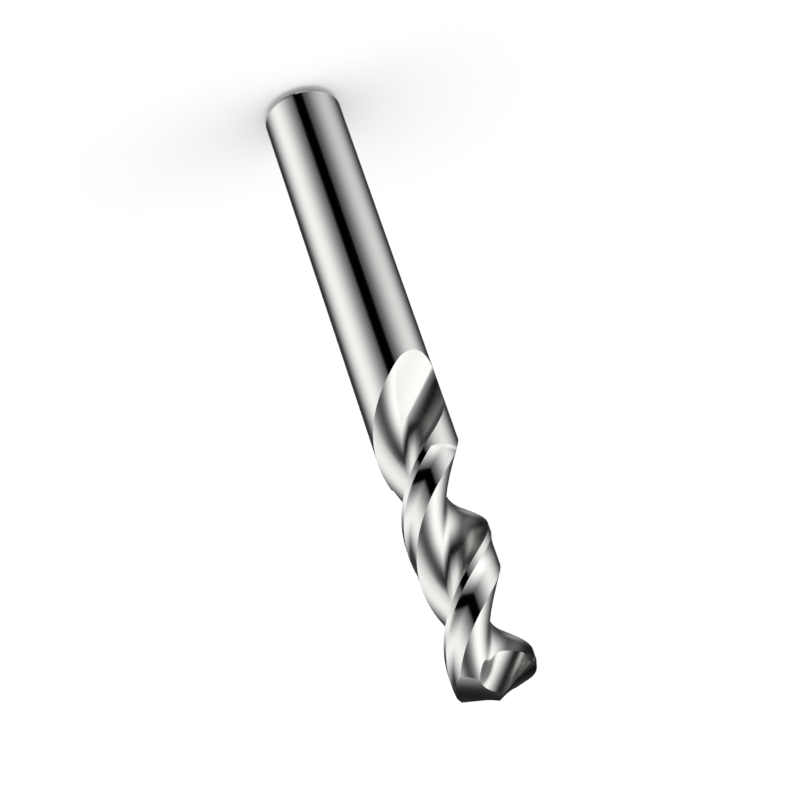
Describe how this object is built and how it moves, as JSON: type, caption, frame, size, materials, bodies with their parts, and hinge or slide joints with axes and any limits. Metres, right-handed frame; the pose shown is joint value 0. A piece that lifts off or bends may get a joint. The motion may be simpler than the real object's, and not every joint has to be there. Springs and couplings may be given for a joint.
{
  "type": "twist drill bit",
  "caption": "Stub twist drill bit with a plain parallel shank, steep right-hand helical flutes with rolled heels, ground lands and a gashed point.",
  "frame": {"origin": "centre of the flat end face of the shank", "axes": "+Z along the drill's axis from the shank to the point; the cutting edge of one lip meets the outer corner at 65.7 degrees from +X towards -Y"},
  "size_m": [0.01, 0.01, 0.089],
  "materials": {
    "ground_steel": "bright ground and polished high-speed steel, bare"
  },
  "bodies": {
    "root": {"drill_bit": "ground_steel"}
  },
  "joints": []
}
